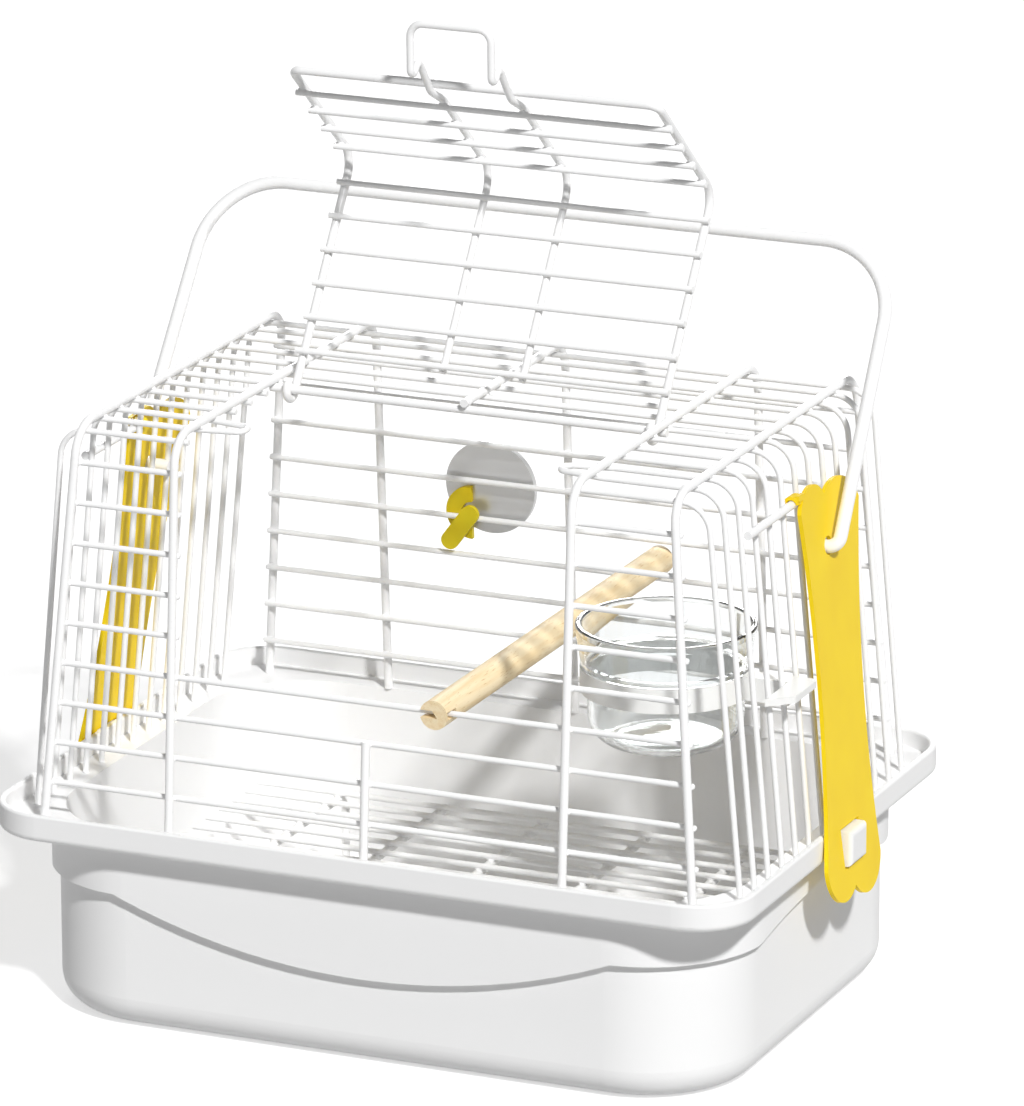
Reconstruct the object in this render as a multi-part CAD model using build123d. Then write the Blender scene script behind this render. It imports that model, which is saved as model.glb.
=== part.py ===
from build123d import *
import os
from math import asin, atan2, cos, degrees, hypot, radians, sin, sqrt, tan

# Bird travel carrier: a wire cage with a folding wire door and a carrying handle, held on a
# plastic tub by two side clips. Millimetres, +Z up, +X to the carrier's right seen from the
# front, +Y to its back. The origin is the centre of the tub's underside.

# ---------------------------------------------------------------- driving dimensions
# clearances
WELD_GAP = 0.02            # crossed wires meet at a hair's breadth
RUN_CLEAR = 0.35           # between pieces that move past each other
FIT_CLEAR = 0.3            # loose fit of a hook, slot or ring

# wire stock
HEAVY_WIRE = 3.2
THIN_WIRE = 2.2
HANDLE_WIRE = 5.0
LATCH_WIRE = 2.8

# tub
RIM_LENGTH = 296.0
RIM_DEPTH = 222.0
RIM_CORNER = 23.0
RIM_TOP = 82.3
RIM_HEIGHT = 10.4
RIM_EDGE_ROUND = 2.5
LEDGE_DROP = 6.8           # from the rim's top to the ledge that the cage's wires stand on
LIP_WALL = 2.7
LIP_ROUND = 0.9
NECK_END_INSET = 8.5       # of the neck from the rim, at the ends
NECK_SIDE_INSET = 8.8      # and at the front and back
NECK_CORNER = 45.0
BODY_INSET = 3.0           # of the body from the neck
BODY_CORNER = 42.0
BODY_WALL = 2.5
BODY_FOOT_ROUND = 12.0
NECK_STEP_DROP = 29.3      # from the rim's top to the neck's underside at the corners
NECK_DIP = 19.0            # depth of the scoop in the neck's front and back
NECK_DIP_HALF = 98.0
NECK_ARCH_RISE = 5.5       # rise of the neck's underside in the middle of each end
NECK_ARCH_HALF = 62.0
PEG_WIDTH = 15.6
PEG_HEIGHT = 13.0
PEG_DROP = 7.8             # of the peg's middle, from the rim's top
PEG_REACH = 7.5
PEG_ALONG = -2.0
PEG_ROUND = 1.8

# floor grate
GRATE_HEIGHT = 43.0
GRATE_END_CLEAR = 17.0     # between the grate's wires and the tub's end walls
GRATE_SIDE_CLEAR = 26.7    # between its bars and the tub's front and back walls
GRATE_WIRE_COUNT = 12
GRATE_WIRE_INSET = 7.0     # of the outer wires from the bars' ends
GRATE_BAR_COUNT = 5
GRATE_BAR_INSET = 33.4     # of the outer bars from the wires' ends
GRATE_LEG_BEND = 6.0

# hoops: the heavy wires that run up the front, over the roof and down the back
HOOP_ROOF = 224.2
HOOP_BEND = 12.0
WALL_INSET = 14.8          # hoop centre line from the rim's face, at the first level wire
WALL_LEAN = 0.066          # inward lean of the front and back walls
EDGE_HOOP_INSET = 21.4     # of the outer hoops from the rim's ends, at the first level wire
EDGE_HOOP_LEAN = 0.0783
DOOR_HOOP_HALF = 77.4
CENTRE_POST_RISE = 1.6     # of the post's top over the wire that it ends on
CENTRE_POST_LEVEL = 3

# level wires of the front and back walls
LEVEL_FIRST_RISE = 14.5    # of the first level wire over the ledge
LEVEL_PITCH = 15.0
FULL_LEVEL_COUNT = 4       # levels that cross the whole front
LEVEL_END_REACH = 1.3      # of a level wire's end past the middle of the hoop that carries it
ROOF_OVERHANG = 0.5

# roof wires that bend down to become the side walls
ROOF_WIRE_COUNT = 13
ROOF_WIRE_INSET = 7.36     # of the first and last row from the hoops' shoulders
STOP_ROW_INDEX = 1         # this row and the next are joined into a hairpin that stops the door
STOP_REACH = 15.4          # of the hairpin past the door hoop, under the door
STOP_TIP_SPREAD = 3.5
STOP_TIP_BEND = 3.3
STOP_TAPER_START = 2.6     # where the hairpin starts to narrow, outside the door hoop
SIDE_INSET = 9.0           # of the side wires' feet from the rim's ends
SIDE_LEAN = 0.0906
SIDE_BEND = 11.0

# door
HINGE_ALONG = -2.9         # the hinge wire, from the middle towards the back
DOOR_SIDE_PLAY = 2.2       # between the door's frame and the door hoops
DOOR_SHIFT = 1.3           # the door rests against the right end of its play
DOOR_PROUD = 9.16          # of the door's front section past the hoops' shoulders
DOOR_FOOT_RISE = 21.2      # of the shut door's foot over the wire that its latch catches
DOOR_TURN = 84.0
DOOR_BEND = 9.5
DOOR_CORNER = 4.0
DOOR_OPEN_ANGLE = 55.6     # of the opened roof section, above the horizontal
HOOK_TURN = 200.0
ROOF_CROSS_START = 15.4    # of the first cross wire from the hinge
ROOF_CROSS_END = 11.5      # of the last one from the bend
ROOF_CROSS_COUNT = 6
FRONT_CROSS_START = 12.7   # of the first cross wire below the bend
FRONT_CROSS_END = 13.3     # of the last cross wire from the door's foot
FRONT_CROSS_COUNT = 4
CROSS_OVERHANG = 0.5
LATCH_HALF = 15.8
LATCH_DROP = 17.8
LATCH_NOSE = 9.3
LATCH_FOOT_CLEAR = 0.3     # of the latch's corner where it passes inside the door's foot wire
LATCH_FOOT_BEND = 8.0
LATCH_FOOT_RUN = 3.5       # of the latch's bend back, before its nose
NOSE_BEND = 2.5
NOSE_TIP_BEND = 2.0
LATCH_PULL = 22.5
LATCH_PULL_ANGLE = 48.7    # of the pull, away from the front section
LATCH_LOOP_BEND = 5.0

# handle
HANDLE_PIVOT_ALONG = 9.3
HANDLE_PIVOT_HEIGHT = 181.8
HANDLE_REACH = 116.0
HANDLE_TOP_INSET = 3.3     # of the top corners from the feet of the legs
HANDLE_END_REACH = 14.0    # of the inturned ends, from the legs' middle
HANDLE_BEND = 30.0
HANDLE_END_BEND = 4.0
HANDLE_LEAN = 35.0         # back from the vertical

# side clips
RAIL_RISE = 20.4           # of the rail over the handle's pivot
RAIL_ROW_INDEX = 5         # the last side wire that the rail is welded to
RAIL_LENGTH = 48.0
RAIL_END = 8.0             # of the rail behind that wire
CLIP_PLATE = 1.6
CLIP_RIM_CLEAR = 0.4
CLIP_OPEN_ANGLE = 2.7      # the turn that takes it off the peg
CLIP_MIDDLE = 4.4          # of the clip, behind the handle's pivot
CLIP_TOP_HALF = 27.5
CLIP_WAIST_HALF = 19.8
CLIP_FOOT_HALF = 25.3
CLIP_LOBE_RISE = 2.8
CLIP_SHOULDER = 9.5        # from the lobes' tops down to the widest place
CLIP_FOOT_SHOULDER = 13.0
CLIP_FOOT_DROP = 20.8      # from the peg's middle down to the tips of the lower lobes
CLIP_TOP_NOTCH_SHIFT = 5.0 # of the upper notch, to the front
CLIP_NOTCH_DEPTH = 4.5
CLIP_LEAN_ANGLE = 7.5      # the lower end leans to the front
CLIP_TAB_WIDTH = 5.4
CLIP_TAB_WALL = 1.3
CLIP_TAB_LIP = 1.5
PIVOT_HOLE_CLEAR = 1.0
PEG_HOLE_CLEAR = 1.0

# bowl and its holder
BOWL_X = 86.0
BOWL_Y = -21.0
BOWL_BASE = 111.2
BOWL_HEIGHT = 44.8
BOWL_RIM_RADIUS = 33.0
BOWL_STEP_RADIUS = 31.0
BOWL_LOWER_RADIUS = 29.0
BOWL_BASE_RADIUS = 28.0
BOWL_FOOT_ROUND = 10.0
BOWL_WALL = 1.8
BOWL_LIP = 2.4
BOWL_LIP_ROUND = 0.8
RING_TOP = 140.0
RING_HEIGHT = 9.0
RING_WALL = 2.0
ARM_WIDTH = 8.0
ARM_ROW_INDEX = 4          # the arm passes between this side wire and the next
SHELF_FRONT_REACH = 26.5   # of the outer shelf from the arm's middle, to the front
SHELF_BACK_REACH = 3.5     # and to the back
SHELF_OUT = 8.6
SHELF_WALL = 2.6
SHELF_FRONT_CUT = 8.0      # of its slanted front corner
SHELF_CORNER = 2.5

# perch
PERCH_DIAMETER = 11.0
PERCH_FRONT_X = 27.0
PERCH_BACK_X = 36.5
PERCH_FRONT_REACH = 4.0    # past the wire in its slot
PERCH_BACK_REACH = 2.5
PERCH_SLOT_DEPTH = 7.0
PERCH_LEVEL = 4

# mirror behind the back wall
MIRROR_X = -32.4
MIRROR_LEVEL = 5           # its clip holds on to this level wire
MIRROR_RISE = 12.2         # of the mirror's middle over that wire
MIRROR_DIAMETER = 36.4
MIRROR_THICK = 2.5
MIRROR_CLIP_SHIFT = 7.2    # of the clip's middle from the mirror's, to the left
MIRROR_CLIP_RISE = 1.5
MIRROR_CLIP_WALL = 1.8
MIRROR_RING_RADIUS = 10.5
MIRROR_RING_BORE = 4.3
MIRROR_TONGUE_LENGTH = 21.0
MIRROR_TONGUE_WIDTH = 7.0
MIRROR_TONGUE_TURN = 37.0
MIRROR_TONGUE_SHIFT = 3.5  # of the tongue's middle from the ring's, to the left
MIRROR_TONGUE_DROP = 5.0
MIRROR_WEB = 4.6

# ---------------------------------------------------------------- shared places
heavy_radius = HEAVY_WIRE / 2
thin_radius = THIN_WIRE / 2
handle_radius = HANDLE_WIRE / 2
latch_radius = LATCH_WIRE / 2
heavy_on_thin = heavy_radius + thin_radius + WELD_GAP
ledge_top = RIM_TOP - LEDGE_DROP
first_level = ledge_top + LEVEL_FIRST_RISE
level_count = 1 + int((HOOP_ROOF - HOOP_BEND - first_level) / LEVEL_PITCH)
peg_height = RIM_TOP - PEG_DROP
roof_wire_height = HOOP_ROOF - heavy_on_thin
hinge_height = HOOP_ROOF - HEAVY_WIRE - WELD_GAP
hinge_axis = Axis((0, HINGE_ALONG, hinge_height), (1, 0, 0))


def spaced(count, first, last):
    """Evenly spaced places from the first to the last."""
    return [first + (last - first) * index / (count - 1) for index in range(count)]


def level_height(level):
    """Height of a level wire, counted from 1 at the bottom."""
    return first_level + (level - 1) * LEVEL_PITCH


def wall_half(height):
    """Distance of a hoop's centre line from the middle at this height."""
    return RIM_DEPTH / 2 - WALL_INSET - WALL_LEAN * (height - first_level)


def edge_hoop_half(height):
    """Sideways place of an outer hoop at this height."""
    return RIM_LENGTH / 2 - EDGE_HOOP_INSET - EDGE_HOOP_LEAN * (height - first_level)


def side_half(height):
    """Sideways place of a side wall's wires at this height."""
    return RIM_LENGTH / 2 - SIDE_INSET - SIDE_LEAN * (height - ledge_top)


def wall_wire_half(height):
    """Distance from the middle of a level wire, which lies inside the hoops."""
    return wall_half(height) - heavy_on_thin


roof_row_reach = wall_half(HOOP_ROOF) - ROOF_WIRE_INSET
row_places = spaced(ROOF_WIRE_COUNT, -roof_row_reach, roof_row_reach)
door_rows_end = HINGE_ALONG + heavy_radius + FIT_CLEAR + thin_radius
front_row_count = sum(place < door_rows_end for place in row_places)
stop_rows = (STOP_ROW_INDEX, STOP_ROW_INDEX + 1)


# ---------------------------------------------------------------- shape helpers
def straight_wire(start, end, diameter):
    """Round wire from one point to another."""
    run = Vector(*end) - Vector(*start)
    section = Plane(origin=start, z_dir=run) * Circle(diameter / 2)
    return extrude(section, amount=run.length)


def bent_wire(points, bends, diameter):
    """Round wire along straight runs joined by tangent arcs."""
    path = FilletPolyline(*points, radius=bends)
    section = Plane(origin=path @ 0, z_dir=path % 0) * Circle(diameter / 2)
    return sweep(section, path=path)


def rounded_block(length, depth, corner, bottom, top):
    """Upright block with rounded corners between two heights."""
    return extrude(Pos(0, 0, bottom) * RectangleRounded(length, depth, corner), amount=top - bottom)


def write_node(name, shapes):
    """Write one sub-part, as one solid or as a group of separate solids."""
    solids = [solid for shape in shapes for solid in shape.solids()]
    node = solids[0] if len(solids) == 1 else Compound(children=solids)
    export_step(node, f"parts/{name}.step")


# ---------------------------------------------------------------- tub
def neck_cutter():
    """What is cut from under the neck: a scoop across the front and an arch at each end."""
    far = RIM_LENGTH
    step = RIM_TOP - NECK_STEP_DROP
    with BuildSketch(Plane.XZ) as front:
        with BuildLine():
            ThreePointArc(
                (-NECK_DIP_HALF, step),
                (0, step - NECK_DIP),
                (NECK_DIP_HALF, step),
            )
            Polyline(
                (NECK_DIP_HALF, step),
                (far, step),
                (far, 0),
                (-far, 0),
                (-far, step),
                (-NECK_DIP_HALF, step),
            )
        make_face()
    with BuildSketch(Plane.YZ) as end:
        with BuildLine():
            ThreePointArc(
                (-NECK_ARCH_HALF, step),
                (0, step + NECK_ARCH_RISE),
                (NECK_ARCH_HALF, step),
            )
            Line((NECK_ARCH_HALF, step), (-NECK_ARCH_HALF, step))
        make_face()
    scoop = extrude(front.sketch, amount=far, both=True)
    arch = extrude(end.sketch, amount=far, both=True)
    return scoop + arch


neck_length = RIM_LENGTH - 2 * NECK_END_INSET
neck_depth = RIM_DEPTH - 2 * NECK_SIDE_INSET
body_length = neck_length - 2 * BODY_INSET
body_depth = neck_depth - 2 * BODY_INSET
inner_length = body_length - 2 * BODY_WALL
inner_depth = body_depth - 2 * BODY_WALL


def make_tub():
    """Plastic tub with a rounded foot, a neck band, a flanged rim and two clip pegs."""
    body = rounded_block(body_length, body_depth, BODY_CORNER, 0, ledge_top)
    body = fillet(body.edges().group_by(Axis.Z)[0], BODY_FOOT_ROUND)
    neck_bottom = RIM_TOP - NECK_STEP_DROP - NECK_DIP
    neck = rounded_block(neck_length, neck_depth, NECK_CORNER, neck_bottom, ledge_top)
    rim = rounded_block(RIM_LENGTH, RIM_DEPTH, RIM_CORNER, RIM_TOP - RIM_HEIGHT, RIM_TOP)
    rim = fillet(rim.edges().group_by(Axis.Z)[0], RIM_EDGE_ROUND)
    hollow = rounded_block(inner_length, inner_depth, BODY_CORNER - BODY_WALL, BODY_WALL, RIM_TOP)
    hollow = fillet(hollow.edges().group_by(Axis.Z)[0], BODY_FOOT_ROUND - BODY_WALL)
    well = rounded_block(
        RIM_LENGTH - 2 * LIP_WALL, RIM_DEPTH - 2 * LIP_WALL, RIM_CORNER - LIP_WALL, ledge_top, RIM_TOP
    )
    tub = body + (neck - neck_cutter()) + rim - hollow - well
    lip_edges = tub.edges().group_by(Axis.Z)[-1]
    tub = fillet(lip_edges, LIP_ROUND)
    for side in (-1, 1):
        peg = Box(PEG_REACH, PEG_WIDTH, PEG_HEIGHT, align=(Align.MIN, Align.CENTER, Align.CENTER))
        peg = fillet(peg.faces().sort_by(Axis.X)[-1].edges(), PEG_ROUND)
        peg = Pos(RIM_LENGTH / 2 - LIP_WALL / 2, PEG_ALONG, peg_height) * peg
        tub += peg if side > 0 else mirror(peg, Plane.YZ)
    return tub


# ---------------------------------------------------------------- floor grate
grate_wire_half = inner_length / 2 - GRATE_END_CLEAR
grate_bar_half = inner_depth / 2 - GRATE_SIDE_CLEAR


def make_grate_wires():
    """Thin wires along the tub that make the walking surface."""
    reach = grate_bar_half - GRATE_WIRE_INSET
    return [
        straight_wire((-grate_wire_half, y, GRATE_HEIGHT), (grate_wire_half, y, GRATE_HEIGHT), THIN_WIRE)
        for y in spaced(GRATE_WIRE_COUNT, -reach, reach)
    ]


def make_grate_bars():
    """Bars under the grate's wires; the two outer ones have legs that stand on the tub floor."""
    bars = []
    height = GRATE_HEIGHT - heavy_on_thin
    outer = grate_wire_half - GRATE_BAR_INSET
    for place in spaced(GRATE_BAR_COUNT, -outer, outer):
        ends = [(place, -grate_bar_half, height), (place, grate_bar_half, height)]
        if abs(place) == outer:
            feet = [(place, along, BODY_WALL) for along in (-grate_bar_half, grate_bar_half)]
            bars.append(bent_wire([feet[0], *ends, feet[1]], GRATE_LEG_BEND, HEAVY_WIRE))
        else:
            bars.append(straight_wire(*ends, HEAVY_WIRE))
    return bars


# ---------------------------------------------------------------- cage hoops
def hoop_points(half_at):
    """Corner points of a hoop from its front foot over the roof to its back foot."""
    foot = ledge_top + heavy_radius * (WALL_LEAN + EDGE_HOOP_LEAN)
    return [
        (half_at(foot), -wall_half(foot), foot),
        (half_at(HOOP_ROOF), -wall_half(HOOP_ROOF), HOOP_ROOF),
        (half_at(HOOP_ROOF), wall_half(HOOP_ROOF), HOOP_ROOF),
        (half_at(foot), wall_half(foot), foot),
    ]


def make_hoop(half_at):
    """One whole hoop."""
    return bent_wire(hoop_points(half_at), HOOP_BEND, HEAVY_WIRE)


def make_rear_hoop():
    """The middle hoop, which starts at the hinge wire and covers only the back half."""
    points = hoop_points(lambda height: 0)[1:]
    points[0] = (0, HINGE_ALONG - HEAVY_WIRE, HOOP_ROOF)
    return bent_wire(points, HOOP_BEND, HEAVY_WIRE)


def make_centre_post():
    """Short post in the middle of the front, under the door."""
    foot = ledge_top + heavy_radius * WALL_LEAN
    top = level_height(CENTRE_POST_LEVEL) + CENTRE_POST_RISE
    start = (0, -wall_half(foot), foot)
    end = (0, -wall_half(top), top)
    return straight_wire(start, end, HEAVY_WIRE)


def make_hinge_wire():
    """Straight wire under the two door hoops and the rear hoop, which the door hooks onto."""
    reach = DOOR_HOOP_HALF + LEVEL_END_REACH
    start = (-reach, HINGE_ALONG, hinge_height)
    return straight_wire(start, (reach, HINGE_ALONG, hinge_height), HEAVY_WIRE)


# ---------------------------------------------------------------- level wires
def level_wire(level, side, left, right):
    """One level wire on the front (-1) or back (+1) wall."""
    height = level_height(level)
    along = side * wall_wire_half(height)
    return straight_wire((left, along, height), (right, along, height), THIN_WIRE)


def outer_end(level):
    """Where a level wire ends past the outer hoop."""
    return edge_hoop_half(level_height(level)) + LEVEL_END_REACH


def make_front_lower():
    """Levels that cross the whole front, below the door."""
    return [
        level_wire(level, -1, -outer_end(level), outer_end(level))
        for level in range(1, FULL_LEVEL_COUNT + 1)
    ]


def make_front_side(side):
    """Short level wires beside the door."""
    inner = DOOR_HOOP_HALF - LEVEL_END_REACH
    wires = []
    for level in range(FULL_LEVEL_COUNT + 1, level_count + 1):
        ends = sorted((side * inner, side * outer_end(level)))
        wires.append(level_wire(level, -1, *ends))
    return wires


def make_back_wires():
    """Level wires across the back."""
    return [
        level_wire(level, 1, -outer_end(level), outer_end(level))
        for level in range(1, level_count + 1)
    ]


# ---------------------------------------------------------------- roof and side wires
def roof_row_height(row):
    """Height of a roof wire; the first and last lie under the rounded shoulder of the hoops."""
    past_bend = abs(row_places[row]) - (wall_half(HOOP_ROOF) - HOOP_BEND)
    if past_bend <= 0:
        return roof_wire_height
    sunk = HOOP_BEND - sqrt(HOOP_BEND ** 2 - past_bend ** 2)
    return roof_wire_height - sunk - WELD_GAP * HEAVY_WIRE


def side_points(row, side):
    """Foot and shoulder corner of a row's wire on one side wall."""
    along = row_places[row]
    foot = ledge_top + thin_radius * SIDE_LEAN
    height = roof_row_height(row)
    return [(side * side_half(foot), along, foot), (side * side_half(height), along, height)]


def make_rear_roof_wires():
    """Whole roof wires behind the door, bent down to both side walls."""
    wires = []
    for row in range(front_row_count, ROOF_WIRE_COUNT):
        points = side_points(row, -1) + side_points(row, 1)[::-1]
        wires.append(bent_wire(points, SIDE_BEND, THIN_WIRE))
    return wires


def make_front_roof_wires(side):
    """Side wires beside the door, which end on the door hoop."""
    inner = side * (DOOR_HOOP_HALF - heavy_radius - ROOF_OVERHANG)
    wires = []
    for row in range(front_row_count):
        if row in stop_rows:
            continue
        end = (inner, row_places[row], roof_row_height(row))
        wires.append(bent_wire(side_points(row, side) + [end], SIDE_BEND, THIN_WIRE))
    return wires


def make_stop_hairpin(side):
    """Two side wires joined under the door by a hairpin, which the shut door rests on."""
    front, back = (row_places[row] for row in stop_rows)
    middle = (front + back) / 2
    start = side * (DOOR_HOOP_HALF + STOP_TAPER_START)
    tip = side * (DOOR_HOOP_HALF - STOP_REACH)
    corners = [
        (start, front, roof_wire_height),
        (tip, middle - STOP_TIP_SPREAD, roof_wire_height),
        (tip, middle + STOP_TIP_SPREAD, roof_wire_height),
        (start, back, roof_wire_height),
    ]
    points = side_points(stop_rows[0], side) + corners + side_points(stop_rows[1], side)[::-1]
    bends = [SIDE_BEND, SIDE_BEND, STOP_TIP_BEND, STOP_TIP_BEND, SIDE_BEND, SIDE_BEND]
    return bent_wire(points, bends, THIN_WIRE)


# ---------------------------------------------------------------- door
# The door is laid out shut: a roof section, a bend, and a section that hangs in front.
door_line = heavy_radius + heavy_radius + RUN_CLEAR
door_half = DOOR_HOOP_HALF - HEAVY_WIRE - DOOR_SIDE_PLAY
roof_run = HINGE_ALONG + wall_half(HOOP_ROOF) + DOOR_PROUD
door_bend_point = Vector(0, HINGE_ALONG - roof_run, hinge_height + door_line)
door_foot_height = level_height(FULL_LEVEL_COUNT) + DOOR_FOOT_RISE
front_run = (door_bend_point.Z - door_foot_height) / sin(radians(DOOR_TURN))
roof_run_way = Vector(0, -1, 0)
roof_out_way = Vector(0, 0, 1)
front_run_way = Vector(0, -cos(radians(DOOR_TURN)), -sin(radians(DOOR_TURN)))
front_out_way = Vector(0, -sin(radians(DOOR_TURN)), cos(radians(DOOR_TURN)))
cross_out = -heavy_on_thin
latch_out = cross_out + thin_radius + latch_radius + WELD_GAP
latch_foot_out = -heavy_radius - latch_radius - WELD_GAP - LATCH_FOOT_CLEAR
door_swing = 180.0 - DOOR_OPEN_ANGLE


def on_roof_section(sideways, run, out):
    """Point of the shut door's roof section: run from the hinge, out from its frame wire."""
    start = Vector(sideways, HINGE_ALONG, hinge_height + door_line)
    return start + roof_run_way * run + roof_out_way * out


def on_front_section(sideways, run, out):
    """Point of the shut door's front section: run down from the bend, out from its frame wire."""
    start = door_bend_point + Vector(sideways, 0, 0)
    return start + front_run_way * run + front_out_way * out


def bend_corner(sideways, out):
    """Where the two sections' lines at this distance out would cross."""
    reach = out * tan(radians(DOOR_TURN / 2))
    return door_bend_point + Vector(sideways, 0, 0) + roof_out_way * out + roof_run_way * reach


def opened(shapes):
    """The door's pieces swung back from shut to open, and slid to the end of their play."""
    return [Pos(DOOR_SHIFT, 0, 0) * shape.rotate(hinge_axis, -door_swing) for shape in shapes]


def hook_point(sideways, turn):
    """Point of the hook that curls from the top of the hinge wire round behind and under it."""
    angle = radians(turn)
    out_and_up = Vector(0, sin(angle), cos(angle)) * door_line
    return Vector(sideways, HINGE_ALONG, hinge_height) + out_and_up


def make_door_frame():
    """Frame wire of the door, with a hook round the hinge wire at each end."""
    corners = [
        on_roof_section(-door_half, 0, 0),
        bend_corner(-door_half, 0),
        on_front_section(-door_half, front_run, 0),
        on_front_section(door_half, front_run, 0),
        bend_corner(door_half, 0),
        on_roof_section(door_half, 0, 0),
    ]
    bends = [DOOR_BEND, DOOR_CORNER, DOOR_CORNER, DOOR_BEND]
    frame = FilletPolyline(*corners, radius=bends)
    hooks = [
        ThreePointArc(*(hook_point(side * door_half, turn) for turn in turns))
        for side, turns in (
            (-1, (HOOK_TURN, HOOK_TURN / 2, 0)),
            (1, (0, HOOK_TURN / 2, HOOK_TURN)),
        )
    ]
    path = Wire([*hooks[0].edges(), *frame.edges(), *hooks[1].edges()])
    section = Plane(origin=path @ 0, z_dir=path % 0) * Circle(heavy_radius)
    return sweep(section, path=path)


def make_door_cross_wires():
    """Thin wires across the door, on the inside of its frame."""
    reach = door_half + heavy_radius + CROSS_OVERHANG
    wires = []
    for run in spaced(ROOF_CROSS_COUNT, ROOF_CROSS_START, roof_run - ROOF_CROSS_END):
        ends = [tuple(on_roof_section(x, run, cross_out)) for x in (-reach, reach)]
        wires.append(straight_wire(*ends, THIN_WIRE))
    for run in spaced(FRONT_CROSS_COUNT, FRONT_CROSS_START, front_run - FRONT_CROSS_END):
        ends = [tuple(on_front_section(x, run, cross_out)) for x in (-reach, reach)]
        wires.append(straight_wire(*ends, THIN_WIRE))
    return wires


def make_door_latch():
    """One wire: down the middle of the door, round the latch loop and back up."""
    start_run = ROOF_CROSS_START - thin_radius - CROSS_OVERHANG
    nose_run = front_run + LATCH_DROP
    tip_out = latch_out - LATCH_NOSE
    pull_run = nose_run + LATCH_PULL * cos(radians(LATCH_PULL_ANGLE))
    pull_out = tip_out + LATCH_PULL * sin(radians(LATCH_PULL_ANGLE))

    def one_leg(x):
        return [
            on_roof_section(x, start_run, latch_out),
            bend_corner(x, latch_out),
            on_front_section(x, front_run - FRONT_CROSS_END + thin_radius, latch_out),
            on_front_section(x, front_run, latch_foot_out),
            on_front_section(x, nose_run - LATCH_FOOT_RUN, latch_out),
            on_front_section(x, nose_run, latch_out),
            on_front_section(x, nose_run, tip_out),
            on_front_section(x, pull_run, pull_out),
        ]

    points = one_leg(-LATCH_HALF) + one_leg(LATCH_HALF)[::-1]
    foot_bends = [LATCH_FOOT_BEND] * 3
    leg_bends = [DOOR_BEND + latch_out, *foot_bends, NOSE_BEND, NOSE_TIP_BEND, LATCH_LOOP_BEND]
    return bent_wire(points, leg_bends + leg_bends[::-1], LATCH_WIRE)


# ---------------------------------------------------------------- side clips and their rails
rail_height = HANDLE_PIVOT_HEIGHT + RAIL_RISE
rail_half = side_half(rail_height) + thin_radius + heavy_radius + WELD_GAP
rail_back = row_places[RAIL_ROW_INDEX] + RAIL_END
clip_seat = heavy_radius + FIT_CLEAR
rim_run = rail_height - RIM_TOP
rim_step = RIM_LENGTH / 2 + CLIP_RIM_CLEAR - rail_half
clip_tilt = degrees(atan2(rim_step, rim_run) - asin(clip_seat / hypot(rim_step, rim_run)))
pivot_drop = RAIL_RISE / cos(radians(clip_tilt))
clip_length = (rail_height - peg_height + CLIP_FOOT_DROP) / cos(radians(clip_tilt))
clip_face_at_pivot = rail_half + (clip_seat + CLIP_PLATE) / cos(radians(clip_tilt))
clip_face_at_pivot += RAIL_RISE * tan(radians(clip_tilt))


def make_clip_rail(side):
    """Short heavy wire welded outside the side wires, which the clip hooks over."""
    start = (side * rail_half, rail_back - RAIL_LENGTH, rail_height)
    return straight_wire(start, (side * rail_half, rail_back, rail_height), HEAVY_WIRE)


def clip_outline():
    """Flat outline of a clip: two lobes at each end and a waist, its rail line at zero height."""
    top_shoulder = CLIP_LOBE_RISE - CLIP_SHOULDER
    foot_shoulder = CLIP_FOOT_SHOULDER - clip_length
    middle_height = (top_shoulder + foot_shoulder) / 2
    top_notch = (-CLIP_TOP_NOTCH_SHIFT, CLIP_LOBE_RISE - CLIP_NOTCH_DEPTH)
    foot_notch = (0, CLIP_NOTCH_DEPTH - clip_length)
    with BuildSketch() as outline:
        with BuildLine():
            for side in (-1, 1):
                top_lobe = (side * CLIP_TOP_HALF - CLIP_TOP_NOTCH_SHIFT) / 2
                foot_lobe = side * CLIP_FOOT_HALF / 2
                ThreePointArc(
                    top_notch,
                    (top_lobe, CLIP_LOBE_RISE),
                    (side * CLIP_TOP_HALF, top_shoulder),
                )
                ThreePointArc(
                    (side * CLIP_TOP_HALF, top_shoulder),
                    (side * CLIP_WAIST_HALF, middle_height),
                    (side * CLIP_FOOT_HALF, foot_shoulder),
                )
                ThreePointArc(
                    (side * CLIP_FOOT_HALF, foot_shoulder),
                    (foot_lobe, -clip_length),
                    foot_notch,
                )
        make_face()
    return outline.sketch


def clip_tab():
    """Tab that curls over the rail beside a side wire, its rail line at zero."""
    outer = clip_seat + CLIP_TAB_WALL
    curl = Circle(outer) - Circle(clip_seat)
    curl &= Pos(0, outer / 2) * Rectangle(2 * outer, outer)
    root = Rectangle(CLIP_PLATE, outer, align=(Align.MIN, Align.MIN)) - Circle(clip_seat)
    lip = Rectangle(CLIP_TAB_WALL, CLIP_TAB_LIP, align=(Align.MAX, Align.MAX))
    face = curl + Pos(clip_seat, 0) * root + Pos(-clip_seat, 0) * lip
    across = Plane(origin=(0, 0, 0), x_dir=(1, 0, 0), z_dir=(0, -1, 0))
    front = row_places[RAIL_ROW_INDEX] + thin_radius + RUN_CLEAR
    return Pos(0, front + CLIP_TAB_WIDTH, 0) * extrude(across * face, amount=CLIP_TAB_WIDTH)


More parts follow.
